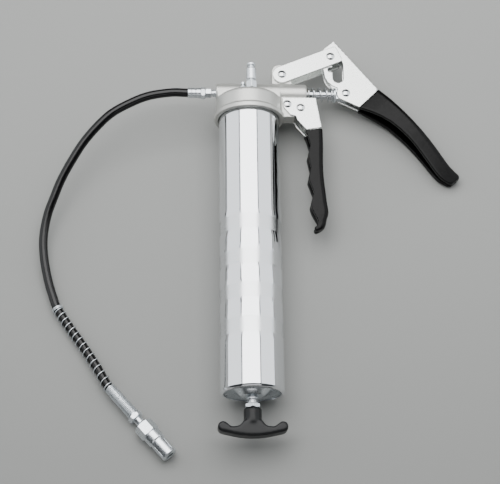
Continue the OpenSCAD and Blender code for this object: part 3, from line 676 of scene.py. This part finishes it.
@dataclass
class Barrel:
    """The chromed barrel with its rolled knurl bands, its cap, and the rod and T-handle at its foot.

    Attributes:
        tool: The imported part.
        radius_mm: The tube's outside radius.
        wall_mm: Thickness of the tube and of the cap.
        top_mm: Height of the tube's top over its foot.
        curl_mm: Radius of the curl at the foot.
        knurl_depth_mm: How deep the knurl is cut.
        diamonds: How many diamonds go round the tube.
        diamond_rise_mm: Height of a diamond.
        bands_mm: Bottom and top of each knurled band.
        band_row_mm: Height of a row of faces inside a band.
        plain_row_mm: Height of a row elsewhere.
        band_edge_mm: How far from a band's edge the knurl reaches its full depth.
        cap_gap_mm: Room between the cap's rim and the tube.
    """

    tool: Tool
    radius_mm: float = 28.5
    wall_mm: float = 1.2
    top_mm: float = 282.0
    curl_mm: float = 3.0
    knurl_depth_mm: float = 0.22
    diamonds: int = 84
    diamond_rise_mm: float = 2.2
    bands_mm: tuple[tuple[float, float], ...] = ((49.5, 64.0), (82.0, 96.0), (114.0, 128.0), (147.5, 162.0))
    band_row_mm: float = 0.5
    plain_row_mm: float = 6.0
    band_edge_mm: float = 0.5
    cap_gap_mm: float = 0.05

    def heights(self) -> np.ndarray:
        """List the rows up the outside: fine inside each band, coarse between."""
        edges = [self.curl_mm] + [y for band in self.bands_mm for y in band] + [self.top_mm]
        rows = []
        for i, (low, high) in enumerate(zip(edges[:-1], edges[1:])):
            step = self.band_row_mm if i % 2 else self.plain_row_mm
            rows.append(np.linspace(low, high, max(int((high - low) / step), 2), endpoint=False))
        return np.concatenate(rows + [np.array([self.top_mm])])

    def knurl(self, angle: np.ndarray, y: np.ndarray) -> np.ndarray:
        """Cut the diamonds: two triangle waves, leaning left and right, multiply to a pyramid.

        Args:
            angle: Angle round the barrel at each column.
            y: Height of each row, in millimetres.

        Returns:
            Depth to take off the radius at each row and column, in millimetres.
        """
        u = angle[None, :] / TURN * self.diamonds
        v = y[:, None] / self.diamond_rise_mm
        wave = [np.abs((u + lean * v) % 1 - 0.5) * 2 for lean in (1, -1)]
        inside = np.zeros_like(y)
        for low, high in self.bands_mm:
            share = np.minimum(y - low, high - y) / self.band_edge_mm
            inside = np.maximum(inside, np.clip(share, 0, 1))
        return self.knurl_depth_mm * (1 - np.minimum(*wave)) * inside[:, None]

    def tube(self) -> Surface:
        """Turn the wall as one closed ring of rows: up the outside, down the inside, round the foot."""
        columns = self.diamonds * 4
        angle = np.arange(columns) / columns * TURN
        y_out = self.heights()
        outside = self.radius_mm - self.knurl(angle, y_out)
        inner = self.radius_mm - self.wall_mm
        y_in = np.linspace(self.top_mm, self.curl_mm, 12)
        middle = self.radius_mm - self.curl_mm
        bend = np.linspace(0, -math.pi / 2, 7)
        tight = self.curl_mm - self.wall_mm
        rows_r = [
            outside,
            np.full((len(y_in), columns), inner),
            np.repeat((middle + tight * np.cos(bend))[:, None], columns, 1),
            np.repeat((middle + self.curl_mm * np.cos(bend[::-1]))[:-1, None], columns, 1),
        ]
        foot_in = self.curl_mm + tight * np.sin(bend)
        foot_out = (self.curl_mm + self.curl_mm * np.sin(bend[::-1]))[:-1]
        rows_y = [y_out, y_in, foot_in, foot_out]
        r, y = np.concatenate(rows_r), np.concatenate(rows_y)
        points = np.stack([r * np.sin(angle), np.repeat(y[:, None], columns, 1), r * np.cos(angle)], -1)
        faces = grid_faces(len(y), columns, ring=True)
        return Surface(self.tool.place(points.reshape(-1, 3)), faces.tolist())

    def turned(self, profile: Sequence[Sequence[float]], columns: int = 128) -> Surface:
        """Turn a closed profile of (radius, height) points, in millimetres, about the barrel's axis."""
        r, y = np.array(profile).T
        angle = np.arange(columns) / columns * TURN
        ring = [r[:, None] * np.sin(angle), np.repeat(y[:, None], columns, 1), r[:, None] * np.cos(angle)]
        points = np.stack(ring, -1)
        faces = grid_faces(len(y), columns, ring=True)
        return Surface(self.tool.place(points.reshape(-1, 3)), faces.tolist())

    def cap(self) -> Surface:
        """Turn the dished cap: a curve through the pressing's outside, and the same lifted by the sheet."""
        radii = [25.6, 22.5, 19, 16.4, 14.4, 12.6, 10.4, 7.6, 4.9]
        heights = [1.3, 2.9, 3.9, 3.6, 2.2, 0.2, -1.7, -2.6, -3.1]
        knots = np.stack([radii, heights], 1)
        outer = smooth_curve(knots, np.linspace(0, len(knots) - 1, 50))
        inner = outer[::-1] + [0, self.wall_mm]
        edge = self.radius_mm - self.wall_mm - self.cap_gap_mm
        rim = [[edge, 4.2], [edge, 3.1]]
        return self.turned(np.concatenate([outer, inner, rim])[::-1])

    def build(self) -> None:
        """Make the barrel's pieces."""
        tube = self.tool.add("knurled_barrel", self.tube(), "barrel_tube", Finishes.CHROME)
        tube.data.materials.append(Finishes.KNURL.value.material())
        centres = np.zeros(len(tube.data.polygons) * 3)
        tube.data.polygons.foreach_get("center", centres)
        away = centres.reshape(-1, 3) - self.tool.origin
        up = self.tool.axes[1]
        y = away @ up / MM
        radius = np.linalg.norm(away - (away @ up)[:, None] * up, axis=1) / MM
        banded = np.zeros(len(y), bool)
        for low, high in self.bands_mm:
            banded |= (y > low) & (y < high) & (radius > self.radius_mm - self.wall_mm / 2)
        tube.data.polygons.foreach_set("material_index", banded.astype(np.int32))
        self.tool.add("dished_cap", self.cap(), "end_cap", Finishes.ZINC_HARDWARE)
        self.tool.finish_node("rod_bush", Finishes.ZINC_HARDWARE)
        for node in ("follower_plate", "follower_retainer", "follower_rod"):
            self.tool.finish_node(node, Finishes.GROUND_STEEL)
        self.tool.finish_node("follower_cup", Finishes.NITRILE)
        self.tool.soften("rod_nut", 0.2, 3, Finishes.ZINC_HARDWARE)
        self.tool.soften("t_handle", 0.7, 40, Finishes.ABS)


# ---------------------------------------------------------------- head, lever, handle


@dataclass
class Head:
    """The cast head with its valves, outlet and pump bore.

    Attributes:
        tool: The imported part.
    """

    tool: Tool

    def build(self) -> None:
        """Make the head's pieces."""
        self.tool.soften("pump_head", 0.55, 4, Finishes.CAST_HEAD)
        self.tool.soften("filler_body", 0.2, 3, Finishes.ZINC_HARDWARE)
        self.tool.soften("bleeder_body", 0.2, 3, Finishes.ZINC_HARDWARE)
        self.tool.soften("outlet_adapter", 0.2, 3, Finishes.ZINC_HARDWARE)
        for node in ("filler_valve_pin", "packing_nut"):
            self.tool.finish_node(node, Finishes.BRASS)
        self.tool.finish_node("bleeder_pin", Finishes.ZINC_HARDWARE)
        for node in ("head_gasket", "plunger_seal"):
            self.tool.finish_node(node, Finishes.NITRILE)
        self.tool.finish_node("outlet_check_ball", Finishes.GROUND_STEEL)


@dataclass
class Handles:
    """The squeeze lever, its link and the fixed handle: pressed steel, rivets and dipped grips.

    Attributes:
        tool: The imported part.
    """

    tool: Tool

    def build(self) -> None:
        """Make the handles' pieces."""
        for node in ("lever_channel", "fixed_handle_channel"):
            self.tool.soften(node, 0.5, 2, Finishes.ZINC_PRESSING)
        for node in ("link_plate_front", "link_plate_back"):
            self.tool.soften(node, 0.35, 2, Finishes.ZINC_PRESSING)
        for node in ("fixed_handle_rivets", "link_head_pin", "link_lever_pin", "lever_plunger_pin"):
            self.tool.finish_node(node, Finishes.RIVET)
        for node in ("lever_grip", "fixed_handle_grip"):
            self.tool.soften(node, 0.55, 8, Finishes.VINYL)
        self.tool.soften("plunger", 0.35, 2, Finishes.GROUND_STEEL)
        self.tool.soften("spring_collar", 0.25, 3, Finishes.ZINC_HARDWARE)


# ---------------------------------------------------------------- springs in head and barrel


def build_springs(tool: Tool) -> None:
    """Wind the three springs that the lever, the valve and the follower push on."""
    lever = Spring("return_spring", "plunger_slide", 6.25, 1.6, 5.5, 19.03)
    valve = Spring("outlet_check_spring", "outlet_ball_lift", 2.7, 0.5, 5, 1.2)
    follower = Spring("follower_spring", "follower_pull", 21.0, 2.2, 14, 200.0)
    straight = (
        (lever, (55.5, BOSS_MM, 0), (81.8, BOSS_MM, 0)),
        (valve, (-23.3, BOSS_MM, 0), (-18.7, BOSS_MM, 0)),
        (follower, (0, 6.2, 0), (0, 253.0, 0)),
    )
    for spring, start, end in straight:
        spring.build(tool, tool.place(start), tool.place(end))


# ---------------------------------------------------------------- studio


@dataclass(frozen=True)
class Softbox:
    """A flat lamp, turned by given angles.

    Attributes:
        name: Its name.
        place: Where it hangs, in metres.
        turn_deg: How it is turned from facing straight down.
        size: Its width and length, in metres.
        power: Its power, in watts.
        colour: Its light's colour.
    """

    name: str
    place: tuple[float, float, float]
    turn_deg: tuple[float, float, float]
    size: tuple[float, float]
    power: float
    colour: tuple[float, float, float] = (1.0, 1.0, 1.0)

    def build(self) -> None:
        """Hang the lamp."""
        light = bpy.data.lights.new(self.name, "AREA")
        light.shape = "RECTANGLE"
        light.size, light.size_y = self.size
        light.energy = self.power
        light.color = self.colour
        lamp = bpy.data.objects.new(self.name, light)
        lamp.location = self.place
        lamp.rotation_euler = [math.radians(a) for a in self.turn_deg]
        bpy.context.scene.collection.objects.link(lamp)


@dataclass(frozen=True)
class Studio:
    """The camera, the floor and the light.

    Attributes:
        camera_place: Where the camera stands, in metres.
        camera_turn_deg: How it is turned from facing straight down.
        lens_mm: Its focal length.
        sensor_mm: Its sensor's width.
        floor_half: Half the floor's width, in metres.
        floor_colour: The floor's sRGB hex colour.
        floor_roughness: The floor's roughness.
        world_colour: The surroundings' sRGB hex colour.
        world_strength: How bright they are.
        boxes: The lamps.
    """

    camera_place: tuple[float, float, float] = (0.0032, -0.4830, 1.1652)
    camera_turn_deg: tuple[float, float, float] = (22.373, 4.371, -0.620)
    lens_mm: float = 96.39
    sensor_mm: float = 36.0
    floor_half: float = 4.0
    floor_colour: str = "939492"
    floor_roughness: float = 0.85
    world_colour: str = "8f9194"
    world_strength: float = 0.18
    boxes: tuple[Softbox, ...] = (
        Softbox("overhead_box", (-0.046, 0.45, 1.0), (0, 0, 0), (1.17, 1.2), 22),
        Softbox("left_box", (-1.092, 0.45, 0.572), (0, -61.9, 0), (1.23, 1.3), 9, (0.95, 0.98, 1.0)),
        Softbox("right_box", (0.946, 0.45, 0.554), (0, 62.9, 0), (1.17, 1.3), 8.5, (0.95, 0.98, 1.0)),
        Softbox("front_box", (-0.05, -1.3, 0.75), (60, 0, 0), (1.4, 0.5), 3),
    )

    def camera(self) -> None:
        """Place the camera."""
        lens = bpy.data.cameras.new("camera")
        lens.sensor_width = self.sensor_mm
        lens.lens = self.lens_mm
        lens.clip_start = 0.01
        eye = bpy.data.objects.new("camera", lens)
        eye.location = self.camera_place
        eye.rotation_euler = [math.radians(a) for a in self.camera_turn_deg]
        bpy.context.scene.collection.objects.link(eye)
        bpy.context.scene.camera = eye

    def build(self) -> None:
        """Lay the floor and hang the light."""
        half = self.floor_half
        mesh = bpy.data.meshes.new("studio_floor")
        corners = [(-half, -half, 0), (half, -half, 0), (half, half, 0), (-half, half, 0)]
        mesh.from_pydata(corners, [], [(0, 1, 2, 3)])
        floor = bpy.data.objects.new("studio_floor", mesh)
        bpy.context.scene.collection.objects.link(floor)
        paper = bpy.data.materials.new("matt_paper_sweep")
        paper.use_nodes = True
        shader = paper.node_tree.nodes["Principled BSDF"]
        shader.inputs["Base Color"].default_value = srgb(self.floor_colour)
        shader.inputs["Roughness"].default_value = self.floor_roughness
        mesh.materials.append(paper)
        world = bpy.data.worlds.new("studio")
        world.use_nodes = True
        world.node_tree.nodes["Background"].inputs["Color"].default_value = srgb(self.world_colour)
        world.node_tree.nodes["Background"].inputs["Strength"].default_value = self.world_strength
        bpy.context.scene.world = world
        for box in self.boxes:
            box.build()


def main() -> None:
    """Build the looks around the frame."""
    logging.basicConfig(level=logging.INFO, format="%(name)s: %(message)s")
    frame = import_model()
    tool = Tool(frame)
    studio = Studio()
    studio.camera()
    HoseAssembly(tool).build()
    Barrel(tool).build()
    Head(tool).build()
    Handles(tool).build()
    build_springs(tool)
    studio.build()


if __name__ == "__main__":
    main()
